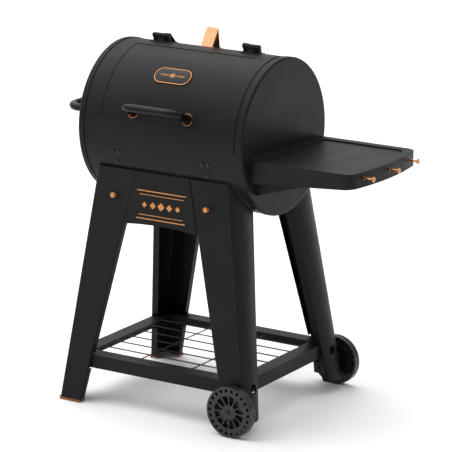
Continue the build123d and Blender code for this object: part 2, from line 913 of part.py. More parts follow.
# ---------------------------------------------------------------- wheels
def wheel_body():
    """One wheel about the origin, its outer face towards minus Z."""
    half = wheel_width / 2
    plate = half - wheel_face
    rim = wheel_radius - 6.0
    tread = Cylinder(wheel_radius, wheel_width) - Cylinder(rim, wheel_width + 2)
    edges = tread.edges().filter_by(GeomType.CIRCLE).sort_by(lambda edge: -edge.radius)
    tread = fillet(edges[0:2], 3.0)
    tread -= Cylinder(wheel_radius + 2, 4.0) - Cylinder(wheel_radius - 1.6, 5.0)
    drum = Cylinder(56.0, 2 * plate) - Cylinder(53.0, wheel_width + 2)
    body = tread + drum
    for level, inner in ((-plate + 1.5, 53.5), (plate - 1.5, 55.0)):
        body += Pos(0, 0, level) * (Cylinder(rim + 1, 3.0) - Cylinder(inner, 5.0))
    floor = Pos(0, 0, 1.25) * Cylinder(54.0, 2.5)
    hub = Pos(0, 0, (2.5 - plate) / 2) * Cylinder(24.0, plate + 2.5)
    tail = Pos(0, 0, (half + 11.0) / 2) * Cylinder(12.0, half + 9.0)
    body = body + floor + hub + tail
    spoke = Box(32.5, 3.6, plate + 1)
    for number in range(spoke_count):
        turn = number * 360 / spoke_count
        body += Rot(0, 0, turn) * Pos(38.3, 0, (1 - plate) / 2) * spoke
    pocket = Box(pocket_size, pocket_size, wheel_width + 2)
    rib = Box(rim - 55.0, 1.6, 2 * plate - 1)
    for number in range(pocket_count):
        turn = number * 360 / pocket_count
        body -= Rot(0, 0, turn) * Pos(pocket_ring, 0, 0) * pocket
        body += Rot(0, 0, turn + 180 / pocket_count) * Pos((rim + 55.5) / 2, 0, 0) * rib
    body -= Pos(0, 0, -half) * Cylinder(bolt_head + 1.0, 2 * (wheel_face + sunk_face))
    return body - Cylinder(wheel_bore, 100)


def front_wheel():
    return Pos(wheel_x, -wheel_mid_y, wheel_radius) * (Rot(-90, 0, 0) * wheel_body())


def front_axle():
    """A long bolt from the sunk face of the hub to inside the leg."""
    face = -wheel_mid_y - wheel_width / 2 + wheel_face + sunk_face
    head = rod_y(wheel_x, face - 6.0, face - 1.8, wheel_radius, bolt_head)
    head = fillet(head.edges().group_by(Axis.Y)[0], 1.8)
    head -= hexagon_y(wheel_x, face - 7.0, face - 3.4, wheel_radius, 3.4)
    shank = rod_y(wheel_x, face - 2.0, axle_tail_y, wheel_radius, axle_radius)
    return head + shank


def axle_washers():
    face = -wheel_mid_y - wheel_width / 2 + wheel_face + sunk_face
    tail = -wheel_mid_y + wheel_width / 2 + 10.0
    pieces = []
    for y0, y1, radius in ((face - 1.75, face - 0.25, bolt_head), (tail + 0.25, tail + 1.25, 11.0)):
        ring = rod_y(wheel_x, y0, y1, wheel_radius, radius)
        pieces.append(ring - rod_y(wheel_x, y0 - 1, y1 + 1, wheel_radius, axle_radius + 0.06))
    return join(pieces)


def axle_nuts():
    pieces = []
    y, side = leg_sizes(wheel_radius)[1::2]
    for y0 in (-y + sheet + nut_offset, -y + side + bracket_sheet + 2 * nut_offset):
        nut = hexagon_y(wheel_x, y0, y0 + 5.5, wheel_radius, 8.6)
        pieces.append(nut - rod_y(wheel_x, y0 - 1, y0 + 8, wheel_radius, axle_radius))
    return join(pieces)


def axle_bracket():
    """A plate on the leg's inner lip that carries the end of the axle."""
    x, y, _, side = leg_sizes(wheel_radius)
    left = wheel_x - 16
    right = x - 6
    lean = math.degrees(math.atan(leg_side_slope - leg_y_slope))
    plate = Box(right - left, bracket_sheet, 36)
    plate = fillet(plate.edges().filter_by(Axis.Y), 5.0)
    plate = Pos((left + right) / 2, -y + side, wheel_radius) * (
        Rot(-lean, 0, 0) * (Pos(0, gap + bracket_sheet / 2, 0) * plate)
    )
    return plate - rod_y(wheel_x, -260, -150, wheel_radius, axle_radius + 0.1)


# ---------------------------------------------------------------- side shelf
def shelf_outline(left, half, end, right, corner):
    arc = ThreePointArc((end, -half), (right, 0), (end, half))
    edges = [
        Line((end, half), (left, half)),
        Line((left, half), (left, -half)),
        Line((left, -half), (end, -half)),
    ]
    face = make_face([arc] + edges)
    if corner > 0:
        points = [face.vertices().sort_by_distance((end, sign * half, 0))[0] for sign in (-1, 1)]
        face = fillet(points, corner)
    return face


def side_shelf():
    low = shelf_skirt_in - 10
    outline = shelf_outline(shelf_left, shelf_half, shelf_end, shelf_right, shelf_corner)
    inner = shelf_outline(shelf_left - 5, shelf_half - shelf_sheet, shelf_end - shelf_sheet,
                          shelf_right - shelf_sheet, shelf_corner - shelf_sheet)
    body = Pos(0, 0, low) * extrude(outline, amount=shelf_top - low)
    body = fillet(body.edges().group_by(Axis.Z)[-1].filter_by(lambda e: e.center().X > shelf_left + 1), 1.5)
    body -= Pos(0, 0, low - 1) * extrude(inner, amount=shelf_top - shelf_sheet - low + 1)
    pan = shelf_outline(recess_left - shelf_sheet, recess_half + shelf_sheet, recess_right + shelf_sheet,
                        recess_end + shelf_sheet, recess_corner + shelf_sheet)
    well = shelf_outline(recess_left, recess_half, recess_right, recess_end, recess_corner)
    pan_floor = shelf_top - recess_depth - shelf_sheet
    body += Pos(0, 0, pan_floor) * extrude(pan, amount=recess_depth + shelf_sheet - 0.5)
    body -= Pos(0, 0, shelf_top - recess_depth) * extrude(well, amount=10)
    skirt = [
        (shelf_left - 20, low - 20),
        (shelf_left - 20, shelf_skirt_in),
        (shelf_left, shelf_skirt_in),
        (shelf_end, shelf_skirt_out),
        (shelf_right + 10, shelf_skirt_out),
        (shelf_right + 10, low - 20),
    ]
    under = Plane.XZ * make_face(Polyline(*skirt, close=True))
    under = Pos(0, 300, 0) * extrude(under, amount=600, dir=(0, -1, 0))
    return body - under


def shelf_bracket():
    """The rear bracket, a web with a flange on the cap and one under the shelf."""
    top = shelf_top - recess_depth - shelf_sheet - 0.1
    left = barrel_half + 0.05
    corners = [
        (left, bracket_low),
        (left, top),
        (bracket_tip, top),
        (bracket_tip, bracket_tip_z),
    ]
    web = Plane.XZ * make_face(Polyline(*corners, close=True))
    web = Pos(0, bracket_y, 0) * extrude(web, amount=sheet, dir=(0, -1, 0))
    foot = box(left, left + sheet, bracket_y - 24, bracket_y - 1, bracket_low, top)
    shelf_flange = box(recess_left + 4, bracket_tip, bracket_y - 24, bracket_y - 1, top - sheet, top)
    bracket = web + foot + shelf_flange
    for y, z in bracket_bolt_places():
        if y > 0:
            bracket -= rod_x(left - 2, left + 6, y, z, 3.2)
    return bracket


def bracket_bolt_places():
    y = bracket_y - 13.0
    return [(sign * y, z) for sign in (-1, 1) for z in (bracket_low + 16, bracket_low + 82)]


def bracket_bolts():
    pieces = []
    face = barrel_half + 0.1 + sheet
    inside = barrel_half - cap_sheet - 0.05
    for y, z in bracket_bolt_places():
        shank = rod_x(inside - 7, face + 0.5, y, z, 3.0)
        head = hexagon_x(face + 0.02, face + 4.5, y, z, 5.8)
        nut = hexagon_x(inside - 5, inside, y, z, 5.8)
        pieces.append(shank + head + nut)
    return join(pieces)


def shelf_nuts():
    pieces = []
    under = shelf_top - recess_depth - 2 * shelf_sheet - 0.15
    for y in (-bracket_y + 13.0, bracket_y - 13.0):
        for x in (recess_left + 40, bracket_tip - 40):
            nut = Pos(x, y, under - 4.6) * extrude(RegularPolygon(6.0, 6), amount=4.6)
            pieces.append(nut)
    return join(pieces)


# ---------------------------------------------------------------- pegs
def peg(reach, root):
    """A peg standing on the XY plane, its head upwards and its root below the plane."""
    base = Pos(0, 0, (1.6 - root) / 2) * Cylinder(peg_root, 1.6 + root)
    stem = Pos(0, 0, reach / 2) * Cylinder(peg_stem, reach - 3)
    head = Pos(0, 0, reach - 2.0) * Cylinder(peg_head, 4.0)
    head = fillet(head.edges().filter_by(GeomType.CIRCLE), 1.6)
    return base + stem + head


def shelf_pegs():
    """Three pegs, all pointing straight out from the shelf's curved edge."""
    sagitta = shelf_right - shelf_end
    radius = (shelf_half**2 + sagitta**2) / (2 * sagitta)
    pieces = []
    for y in (-shelf_peg_y, 0.0, shelf_peg_y):
        edge = shelf_right - radius + math.sqrt(radius**2 - y**2)
        face = Plane(origin=(edge, y, shelf_peg_z), z_dir=(1, 0, 0))
        pieces.append(face * peg(shelf_peg_reach, 4.0) - Pos(0.03, 0, 0) * shelf_core())
    return join(pieces)


def shelf_core():
    """The block that the shelf's outer edge encloses."""
    outline = shelf_outline(shelf_left, shelf_half, shelf_end, shelf_right, shelf_corner)
    return Pos(0, 0, shelf_skirt_out) * extrude(outline, amount=shelf_top - shelf_skirt_out)


def leg_pegs():
    lean = math.atan(-leg_y_slope)
    normal = (0, -math.cos(lean), math.sin(lean))
    y = leg_sizes(leg_peg_z)[1]
    pieces = []
    for x in (-leg_peg_x, leg_peg_x):
        face = Plane(origin=(x, -y - 0.05, leg_peg_z), x_dir=(1, 0, 0), z_dir=normal)
        pieces.append(face * peg(leg_peg_reach, 0.0))
    return join(pieces)


# ---------------------------------------------------------------- fire and cooking grates
def rod_grate(x0, x1, depth, z, rod, pitch, frame_rod):
    """Round bars running front to back on a rectangular frame of two long rods."""
    count = int((x1 - x0 - 2 * frame_rod) // pitch)
    first = (x0 + x1) / 2 - count * pitch / 2
    grate = None
    for number in range(count + 1):
        bar = rod_y(first + number * pitch, -depth, depth, z, rod)
        grate = bar if grate is None else grate + bar
    for y in (-depth + frame_rod, 0.0, depth - frame_rod):
        grate += rod_x(x0, x1, y, z - rod - frame_rod + 0.6, frame_rod)
    return grate


def cooking_grate():
    return rod_grate(3.0, grate_outer_x - 8, grate_depth, grate_z, grate_rod, 19.0, 4.0)


def fire_grate():
    return rod_grate(-fire_half_x, fire_half_x, fire_half_y, fire_z, 3.0, 16.0, 4.0)


def grate_ledge():
    """The rear ledge that the cooking grates rest on."""
    level = grate_z - 2 * 4.0 - grate_rod + 0.5
    ledge = box(-270, 270, 206.0, 244.6, level - sheet, level)
    lip = box(-270, 270, 240.0, 244.6, level - 14, level)
    return (ledge + lip) & barrel_solid(shell_outer - shell_sheet - 0.05)


def hanger_screw_places():
    places = []
    for middle in (-screw_x, screw_x):
        places.append((middle - 10.5, -14.2))
        places.append((middle + 10.5, -14.2))
        places.append((middle, -22.9))
    mirrored = [(x, 180 - angle) for x, angle in places]
    return places + mirrored


def hanger_screws():
    pieces = []
    inner = shell_outer - shell_sheet - 2.1
    for x, angle in hanger_screw_places():
        shank = radial_rod(x, angle, inner - 5, shell_outer + 1, 3.0)
        head = domed_head(radial_place(x, angle, shell_outer + 0.12), 6.8, 3.6)
        nut = radial_rod(x, angle, inner - 4.2, inner - 0.1, 5.4)
        pieces.append(shank + head + (nut & barrel_solid(inner - 0.02)))
    return join(pieces)


def grate_hangers():
    """Straps inside the shell that hold up the fire grate."""
    outer = shell_outer - shell_sheet - 0.05
    level = fire_z - 3.0 - 8.0 + 0.5
    pieces = []
    for middle in (-screw_x, screw_x):
        strap = sector(outer - sheet, outer, middle - 20, middle + 20, -42.0, -11.6)
        tongue = box(middle - 20, middle + 20, -203.0, -150.0, level - sheet, level)
        hanger = strap + (tongue & barrel_solid(outer))
        for x, angle in hanger_screw_places():
            if abs(x - middle) < 20 and angle < 90:
                hanger -= radial_rod(x, angle, outer - 8, outer + 4, 3.1)
        pieces.extend(both_sides(hanger))
    return join(pieces)


def ash_pan():
    inner = shell_outer - shell_sheet
    half_y = 100.0
    bottom = barrel_z - math.sqrt(inner**2 - (half_y - 1) ** 2) + 0.3
    outer = box(-240, 240, -half_y, half_y, bottom, bottom + 24)
    outer = fillet(outer.edges().filter_by(Axis.Z), 12)
    hollow = box(-238.5, 238.5, -half_y + 1.5, half_y - 1.5, bottom + 1.5, bottom + 30)
    hollow = fillet(hollow.edges().filter_by(Axis.Z), 10.5)
    return (outer - hollow) & barrel_solid(inner - 0.1)


# ---------------------------------------------------------------- writing
def write_barrel():
    write("barrel_shell", barrel_shell())
    write("end_cap_left", left_cap())
    write("end_cap_right", right_cap())
    write("lid_stop", lid_stop())
    write("lid_stop_screws", stop_screws())
    write("carry_handle", carry_handle())
    write("carry_handle_bolts", carry_bolts())
    write("damper_lower", damper_disc(barrel_z - damper_rise))
    write("damper_upper", damper_disc(barrel_z + damper_rise))
    write("damper_rivets", damper_rivets())


def write_lid():
    write("lid_panel", lid_panel())
    write("lid_handle", lid_handle())
    write("handle_rings", handle_rings())
    write("handle_ferrules", handle_ferrules())
    write("handle_bolts", handle_bolts())
    write("badge_frame", badge_frame())
    write("badge_plate", badge_plate())
    write("hinge_leaves_lid", lid_hinge_leaves())
    write("hinge_leaves_barrel", shell_hinge_leaves())
    write("hinge_pins", hinge_pins())


def write_cart():
    left = with_bolt_holes(front_left_leg())
    right = with_bolt_holes(front_right_leg())
    write("leg_front_left", left)
    write("leg_rear_left", left.mirror(Plane.XZ))
    write("leg_front_right", right)
    write("leg_rear_right", right.mirror(Plane.XZ))
    shoe = foot_cap()
    write("foot_cap_front", shoe)
    write("foot_cap_rear", shoe.mirror(Plane.XZ))
    panel = with_bolt_holes(apron())
    write("apron_front", panel)
    write("apron_rear", panel.mirror(Plane.XZ))
    write("apron_bolts", apron_bolts())
    write("apron_emblem", apron_emblem())
    write("rail_front", front_rail())
    write("rail_rear", front_rail().mirror(Plane.XZ))
    write("rail_right", side_rail())
    write("rail_left", side_rail().mirror(Plane.YZ))
    write("rail_studs", rail_studs())
    write("wire_shelf", wire_shelf())
    write("leg_pegs", leg_pegs())


def write_wheels():
    wheel = front_wheel()
    write("wheel_front", wheel)
    write("wheel_rear", wheel.mirror(Plane.XZ))
    axle = front_axle()
    write("axle_front", axle)
    write("axle_rear", axle.mirror(Plane.XZ))
    write("axle_washers", join(both_sides(axle_washers())))
    write("axle_nuts", join(both_sides(axle_nuts())))
    write("axle_brackets", join(both_sides(axle_bracket())))


def write_shelf():
    write("side_shelf", side_shelf())
    bracket = shelf_bracket()
    write("shelf_bracket_rear", bracket)
    write("shelf_bracket_front", bracket.mirror(Plane.XZ))
    write("shelf_bracket_bolts", bracket_bolts())
    write("shelf_nuts", shelf_nuts())
    write("shelf_pegs", shelf_pegs())


def write_grates():
    grate = cooking_grate()
    write("cooking_grate_right", grate)
    write("cooking_grate_left", grate.mirror(Plane.YZ))
    write("fire_grate", fire_grate())
    ledge = grate_ledge()
    write("grate_ledge_rear", ledge)
    write("grate_ledge_front", ledge.mirror(Plane.XZ))
    write("grate_hangers", grate_hangers())
    write("hanger_screws", hanger_screws())
    write("ash_pan", ash_pan())


write_barrel()
write_lid()
write_cart()
write_wheels()
write_shelf()
write_grates()
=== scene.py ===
import json
import math

import bmesh
import bpy
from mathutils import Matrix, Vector


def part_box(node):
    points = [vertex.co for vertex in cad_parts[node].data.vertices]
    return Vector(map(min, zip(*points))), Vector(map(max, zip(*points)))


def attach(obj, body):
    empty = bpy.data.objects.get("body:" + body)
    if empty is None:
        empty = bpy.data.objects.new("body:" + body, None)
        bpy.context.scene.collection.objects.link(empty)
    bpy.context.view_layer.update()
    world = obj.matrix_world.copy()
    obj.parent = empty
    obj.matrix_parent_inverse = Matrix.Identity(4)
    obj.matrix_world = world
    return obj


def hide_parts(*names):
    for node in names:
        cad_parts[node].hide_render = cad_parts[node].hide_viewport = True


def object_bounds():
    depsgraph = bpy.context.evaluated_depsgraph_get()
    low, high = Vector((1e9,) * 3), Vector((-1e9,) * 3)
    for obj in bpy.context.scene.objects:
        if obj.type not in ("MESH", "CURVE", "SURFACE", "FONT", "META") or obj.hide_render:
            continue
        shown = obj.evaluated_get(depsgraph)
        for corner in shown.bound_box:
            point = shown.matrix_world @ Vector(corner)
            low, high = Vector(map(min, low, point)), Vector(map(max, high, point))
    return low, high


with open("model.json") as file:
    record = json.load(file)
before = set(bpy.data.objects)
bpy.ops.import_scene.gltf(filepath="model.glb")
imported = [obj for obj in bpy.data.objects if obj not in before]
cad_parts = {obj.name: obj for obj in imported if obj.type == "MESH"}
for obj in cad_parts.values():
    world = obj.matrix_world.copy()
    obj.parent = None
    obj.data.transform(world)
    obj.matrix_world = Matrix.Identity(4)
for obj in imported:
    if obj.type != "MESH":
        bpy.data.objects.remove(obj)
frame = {"nodes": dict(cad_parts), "record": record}
cad_low, cad_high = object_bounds()

MM = 0.001

# paint and metal detail
GRAIN = 1 / (1.1 * MM)           # powder coat grain, one cell per 1.1 mm
FINE_GRAIN = 1 / (0.35 * MM)
POWDER_BLACK = (0.0088, 0.0088, 0.0092)
# painted highlight on the rounded edges of the powder coat, patchy like wear
EDGE_HIGHLIGHT_AND_WEAR = (0.075, 0.073, 0.071)
# painted highlight on the edges of copper parts
COPPER_EDGE_HIGHLIGHT = (0.85, 0.50, 0.28)
RUBBED_EDGE = (0.22, 0.21, 0.20)
# painted highlight on the wheel's edges
PAINTED_EDGE_GLINT = (0.17, 0.17, 0.175)
GREASE = (0.045, 0.042, 0.038)
SOOT = (0.03, 0.028, 0.026)
WHITE = (1.0, 1.0, 1.0, 1.0)

# stage and light
FLOOR_SIZE = 400.0
FLOOR_DROP = 0.5 * MM            # how far the floor lies under the feet
FLOOR_TONES = ((0.90, 0.90, 0.90), (0.93, 0.93, 0.93))
SKY_BRIGHTEST = (-0.65, 0.25, 0.72)
SUN_FROM = (-0.30, 0.05, 0.95)
SOFTBOX_PLACE = (-2.6, -2.4, 2.9)
SOFTBOX_SIZE = (1.6, 0.8)

# camera: lens and sensor in millimetres, places in metres, angles in degrees
CAMERA_LENS = 229.67
CAMERA_SENSOR = 36.0
CAMERA_RIGHT = 4.8667            # from the barrel's middle
CAMERA_Y = -7.4664
CAMERA_Z = 2.9504
CAMERA_TILT = 74.984
CAMERA_TURN = 32.615


# ---------------------------------------------------------------- shader helpers
def set_range(node, low, high, out_low, out_high):
    """Fill in the four numbers of a Map Range node."""
    for name, value in (("From Min", low), ("From Max", high)):
        node.inputs[name].default_value = value
    for name, value in (("To Min", out_low), ("To Max", out_high)):
        node.inputs[name].default_value = value


class Shader:
    """One material and short calls for the nodes that go into it."""

    def __init__(self, name, roughness=0.5, metallic=0.0):
        self.material = bpy.data.materials.new(name)
        self.material.use_nodes = True
        self.tree = self.material.node_tree
        self.surface = self.tree.nodes["Principled BSDF"]
        self.surface.inputs["Roughness"].default_value = roughness
        self.surface.inputs["Metallic"].default_value = metallic
        self.place = self.tree.nodes.new("ShaderNodeTexCoord").outputs["Object"]

    def node(self, kind, **settings):
        made = self.tree.nodes.new(kind)
        for key, value in settings.items():
            setattr(made, key, value)
        return made

    def link(self, source, target):
        self.tree.links.new(source, target)

    def set(self, socket, source):
        """A plain number or colour goes on the socket, and a varying one is linked."""
        target = self.surface.inputs[socket]
        if isinstance(source, bpy.types.NodeSocket):
            self.link(source, target)
        else:
            target.default_value = source

    def stretched(self, scale):
        mapping = self.node("ShaderNodeMapping")
        mapping.inputs["Scale"].default_value = scale
        self.link(self.place, mapping.inputs["Vector"])
        return mapping.outputs["Vector"]

    def noise(self, scale, detail=3.0, roughness=0.5, vector=None):
        made = self.node("ShaderNodeTexNoise")
        made.inputs["Scale"].default_value = scale
        made.inputs["Detail"].default_value = detail
        made.inputs["Roughness"].default_value = roughness
        self.link(vector or self.place, made.inputs["Vector"])
        return made.outputs["Fac"]

    def cells(self, scale, feature="F1"):
        made = self.node("ShaderNodeTexVoronoi", feature=feature)
        made.inputs["Scale"].default_value = scale
        self.link(self.place, made.inputs["Vector"])
        return made.outputs["Distance"]

    def remap(self, source, low, high, out_low, out_high):
        made = self.node("ShaderNodeMapRange", clamp=True)
        set_range(made, low, high, out_low, out_high)
        self.link(source, made.inputs["Value"])
        return made.outputs["Result"]

    def blend(self, amount, first, second):
        """A colour between two, by a varying amount. Either may itself vary."""
        made = self.node("ShaderNodeMix", data_type="RGBA")
        self.link(amount, made.inputs["Factor"])
        for name, colour in (("A", first), ("B", second)):
            socket = [s for s in made.inputs if s.name == name and s.type == "RGBA"][0]
            if isinstance(colour, bpy.types.NodeSocket):
                self.link(colour, socket)
            else:
                socket.default_value = (*colour, 1.0)
        return [s for s in made.outputs if s.type == "RGBA"][0]

    def maths(self, operation, first, second):
        made = self.node("ShaderNodeMath", operation=operation)
        for socket, value in zip(made.inputs, (first, second)):
            if isinstance(value, bpy.types.NodeSocket):
                self.link(value, socket)
            else:
                socket.default_value = value
        return made.outputs["Value"]

    def soft_edges(self, radius):
        """Normals rounded over sharp edges."""
        made = self.node("ShaderNodeBevel", samples=6)
        made.inputs["Radius"].default_value = radius
        return made.outputs["Normal"]

    def edge_mask(self, radius):
        """About 1 on outer edges and 0 on flat faces."""
        soft = self.soft_edges(radius)
        true_normal = self.node("ShaderNodeNewGeometry").outputs["Normal"]
        dot = self.node("ShaderNodeVectorMath", operation="DOT_PRODUCT")
        self.link(soft, dot.inputs[0])
        self.link(true_normal, dot.inputs[1])
        return self.remap(dot.outputs["Value"], 0.80, 0.995, 1.0, 0.0)

    def bumps(self, *layers, edge=None):
        """Bump layers of (height, strength, distance), over rounded edges if asked."""
        normal = self.soft_edges(edge) if edge else None
        for height, strength, distance in layers:
            made = self.node("ShaderNodeBump")
            made.inputs["Strength"].default_value = strength
            made.inputs["Distance"].default_value = distance
            self.link(height, made.inputs["Height"])
            if normal is not None:
                self.link(normal, made.inputs["Normal"])
            normal = made.outputs["Normal"]
        self.set("Normal", normal)


# ---------------------------------------------------------------- materials
def powder_coat(name, colour, roughness=0.44, gloss=0.13, edge=0.7 * MM):
    """Satin powder coat: fine orange peel, faint handling marks, and paler edges that are a painted
    edge highlight, patchy like wear.
    """
    paint = Shader(name)
    drift = paint.noise(2.6, detail=4.0)
    grain = paint.noise(GRAIN, detail=2.0)
    fine = paint.noise(FINE_GRAIN, detail=1.0)
    marks = paint.noise(9.0, detail=6.0, roughness=0.62)
    dark = tuple(0.82 * c for c in colour)
    pale = tuple(1.18 * c for c in colour)
    tone = paint.blend(paint.remap(drift, 0.3, 0.7, 0.0, 1.0), dark, pale)
    speck = paint.blend(paint.remap(fine, 0.62, 0.8, 0.0, 0.35), tone, tuple(2.2 * c for c in colour))
    # paler edges: a painted edge highlight, broken into patches like wear
    sheen_and_wear_mask = paint.maths("MULTIPLY", paint.edge_mask(0.9 * MM), paint.remap(marks, 0.42, 0.7, 0.1, 0.55))
    paint.set("Base Color", paint.blend(sheen_and_wear_mask, speck, EDGE_HIGHLIGHT_AND_WEAR))
    smear = paint.remap(marks, 0.35, 0.7, roughness - 0.045, roughness + 0.06)
    paint.set("Roughness", paint.maths("ADD", smear, paint.remap(grain, 0.3, 0.7, -0.02, 0.02)))
    paint.set("Specular IOR Level", gloss)
    paint.bumps((grain, 0.10, 0.12 * MM), (fine, 0.06, 0.05 * MM), edge=edge)
    return paint.material


def gloss_enamel(name, colour, roughness=0.16, gloss=0.5, coat=0.6):
    """Gloss stove enamel with a slight ripple and light hairline marks."""
    paint = Shader(name)
    ripple = paint.noise(140.0, detail=2.0)
    marks = paint.noise(60.0, detail=5.0, vector=paint.stretched((0.25, 3.0, 3.0)))
    tone = paint.blend(paint.remap(marks, 0.35, 0.7, 0.0, 1.0), colour, tuple(1.7 * c for c in colour))
    paint.set("Base Color", tone)
    paint.set("Roughness", paint.remap(marks, 0.3, 0.75, roughness - 0.03, roughness + 0.1))
    paint.set("Specular IOR Level", gloss)
    paint.set("Coat Weight", coat)
    paint.set("Coat Roughness", 0.09)
    paint.bumps((ripple, 0.05, 0.25 * MM), (marks, 0.02, 0.05 * MM), edge=0.4 * MM)
    return paint.material


def brushed_copper(name, colour, roughness=0.27, tarnish=0.45):
    """Copper plate, brushed, a little darker and browner where it has tarnished."""
    metal = Shader(name, metallic=1.0)
    brush = metal.noise(900.0, detail=4.0, vector=metal.stretched((0.15, 1.0, 1.0)))
    patches = metal.noise(55.0, detail=5.0, roughness=0.6)
    brown = tuple(c * k for c, k in zip(colour, (0.62, 0.5, 0.45)))
    tone = metal.blend(metal.remap(patches, 0.45, 0.75, 0.0, tarnish), colour, brown)
    # all edges lightened to a paler copper: a painted edge highlight
    bright = metal.blend(metal.edge_mask(0.5 * MM), tone, COPPER_EDGE_HIGHLIGHT)
    metal.set("Base Color", bright)
    metal.set("Roughness", metal.remap(brush, 0.25, 0.75, roughness - 0.08, roughness + 0.12))
    metal.set("Anisotropic", 0.35)
    metal.bumps((brush, 0.08, 0.04 * MM), (patches, 0.05, 0.05 * MM), edge=0.5 * MM)
    return metal.material


def moulded_plastic(name, colour, edge_glint, roughness=0.4, grain_size=0.8 * MM, strength=0.18):
    """Moulded plastic with a fine spark-eroded texture and pale edges that are a painted highlight."""
    shell = Shader(name)
    grain = shell.noise(1 / grain_size, detail=3.0)
    flow = shell.noise(22.0, detail=3.0)
    patchiness = shell.noise(160.0, detail=5.0, roughness=0.65)
    tone = shell.blend(shell.remap(flow, 0.35, 0.65, 0.0, 1.0), colour, tuple(1.35 * c for c in colour))
    # pale edges: a painted highlight along the edges, in patches
    edge = shell.maths("MULTIPLY", shell.edge_mask(1.0 * MM), shell.remap(patchiness, 0.35, 0.62, 0.15, 1.0))
    shell.set("Base Color", shell.blend(edge, tone, edge_glint))
    shell.set("Roughness", shell.remap(patchiness, 0.3, 0.7, roughness - 0.06, roughness + 0.1))
    shell.bumps((grain, strength, 0.08 * MM), edge=0.6 * MM)
    return shell.material


def plated_steel(name, colour, roughness=0.3):
    """Zinc plated steel with a faint blue and straw bloom."""
    metal = Shader(name, metallic=1.0)
    bloom = metal.noise(90.0, detail=3.0)
    fine = metal.noise(1400.0, detail=3.0)
    straw = tuple(c * k for c, k in zip(colour, (1.05, 0.98, 0.82)))
    blue = tuple(c * k for c, k in zip(colour, (0.88, 0.95, 1.06)))
    metal.set("Base Color", metal.blend(metal.remap(bloom, 0.35, 0.65, 0.0, 1.0), straw, blue))
    metal.set("Roughness", metal.remap(fine, 0.3, 0.7, roughness - 0.06, roughness + 0.1))
    metal.bumps((fine, 0.08, 0.04 * MM), edge=0.3 * MM)
    return metal.material


def oxide_steel(name, colour):
    """Black oxide on steel fasteners, rubbed brighter on the corners."""
    metal = Shader(name, metallic=0.75)
    fine = metal.noise(1100.0, detail=3.0)
    rub = metal.maths("MULTIPLY", metal.edge_mask(0.5 * MM), metal.remap(fine, 0.35, 0.6, 0.2, 0.9))
    metal.set("Base Color", metal.blend(rub, colour, RUBBED_EDGE))
    metal.set("Roughness", metal.remap(fine, 0.3, 0.7, 0.30, 0.46))
    metal.bumps((fine, 0.1, 0.04 * MM), edge=0.4 * MM)
    return metal.material


def porcelain_enamel(name, colour):
    """Glossy fired enamel with pinholes and a rolling surface."""
    glaze = Shader(name)
    roll = glaze.noise(180.0, detail=2.0)
    pits = glaze.cells(420.0)
    soot = glaze.noise(14.0, detail=5.0, roughness=0.6)
    tone = glaze.blend(glaze.remap(soot, 0.4, 0.7, 0.0, 0.7), colour, GREASE)
    glaze.set("Base Color", tone)
    glaze.set("Roughness", glaze.remap(soot, 0.35, 0.7, 0.16, 0.42))
    holes = glaze.remap(pits, 0.0, 0.12, 0.0, 1.0)
    glaze.bumps((roll, 0.12, 0.3 * MM), (holes, 0.15, 0.1 * MM), edge=0.5 * MM)
    return glaze.material


def heated_steel(name, colour):
    """Bare steel with straw and blue heat tints under patches of soot."""
    metal = Shader(name, metallic=1.0)
    heat = metal.noise(7.0, detail=4.0, roughness=0.6)
    soot = metal.noise(24.0, detail=6.0, roughness=0.65)
    fine = metal.noise(800.0, detail=4.0, vector=metal.stretched((1.0, 0.2, 1.0)))
    straw = tuple(c * k for c, k in zip(colour, (1.15, 0.92, 0.62)))
    blue = tuple(c * k for c, k in zip(colour, (0.66, 0.74, 0.95)))
    tint = metal.blend(metal.remap(heat, 0.38, 0.62, 0.0, 1.0), straw, blue)
    sooty = metal.remap(soot, 0.45, 0.62, 0.0, 0.85)
    metal.set("Base Color", metal.blend(sooty, tint, SOOT))
    metal.set("Roughness", metal.remap(soot, 0.4, 0.7, 0.34, 0.68))
    metal.bumps((fine, 0.12, 0.06 * MM), (soot, 0.12, 0.15 * MM), edge=0.3 * MM)
    return metal.material


def pale_floor(name):
    floor = Shader(name, roughness=0.9)
    mottle = floor.noise(1.3, detail=4.0)
    floor.set("Base Color", floor.blend(mottle, *FLOOR_TONES))
    floor.set("Specular IOR Level", 0.15)
    return floor.material


def make_materials():
    """One material for each of the record's slots, under the slot's name."""
    handle = gloss_enamel("handle_black", (0.004, 0.004, 0.0043), roughness=0.12, gloss=0.14, coat=0.05)
    badge = gloss_enamel("badge_black", (0.006, 0.006, 0.0066), roughness=0.14, gloss=0.16, coat=0.1)
    wheel = moulded_plastic("wheel_plastic", (0.0065, 0.0065, 0.007), PAINTED_EDGE_GLINT, roughness=0.26)
    wire = powder_coat("wire_black", (0.009, 0.009, 0.0095), roughness=0.36, edge=0.2 * MM)
    return {
        "powder_black": powder_coat("powder_black", POWDER_BLACK),
        "wire_black": wire,
        "handle_black": handle,
        "copper": brushed_copper("copper", (0.50, 0.27, 0.145), tarnish=0.2),
        "polished_copper": brushed_copper("polished_copper", (0.50, 0.215, 0.075), roughness=0.13),
        "copper_plastic": brushed_copper("copper_plastic", (0.24, 0.105, 0.05), roughness=0.38),
        "badge_black": badge,
        "wheel_plastic": wheel,
        "black_fastener": oxide_steel("black_fastener", (0.03, 0.03, 0.032)),
        "zinc_fastener": plated_steel("zinc_fastener", (0.62, 0.63, 0.66)),
        "grate_enamel": porcelain_enamel("grate_enamel", (0.014, 0.014, 0.016)),
        "bare_steel": heated_steel("bare_steel", (0.44, 0.43, 0.42)),
    }


def dress(piece, material):
    """Give the whole of a piece one material."""
    piece.data.materials.clear()
    piece.data.materials.append(material)
    for polygon in piece.data.polygons:
        polygon.material_index = 0


def dress_cad(materials):
    """Give every CAD node the material of its slot in the record."""
    for subpart in frame["record"]["subparts"]:
        dress(frame["nodes"][subpart["node"]], materials[subpart["material_slot"]])


